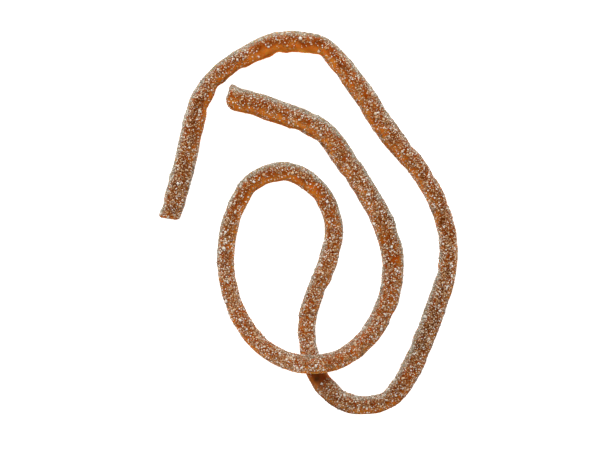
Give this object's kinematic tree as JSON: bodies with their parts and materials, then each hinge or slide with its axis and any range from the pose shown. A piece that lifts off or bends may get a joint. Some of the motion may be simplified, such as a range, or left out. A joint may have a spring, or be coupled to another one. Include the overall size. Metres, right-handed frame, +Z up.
{
  "type": "sugared gummy candy string",
  "caption": "Long, thin cola gummy string with a fine sugar coat, lying flat in loose loops and passing over itself near one bend.",
  "frame": {"origin": "middle of the bounding box seen from above, on the surface that the string lies on", "axes": "+Z up; +X to the right and +Y to the top of the picture, which looks straight down on the string"},
  "size_m": [0.0776, 0.0998, 0.0091],
  "materials": {
    "sugared_gummy": "translucent brown gummy under a rough coat of clear sugar crystals"
  },
  "bodies": {
    "root": {"gummy_string": "sugared_gummy"}
  },
  "joints": []
}
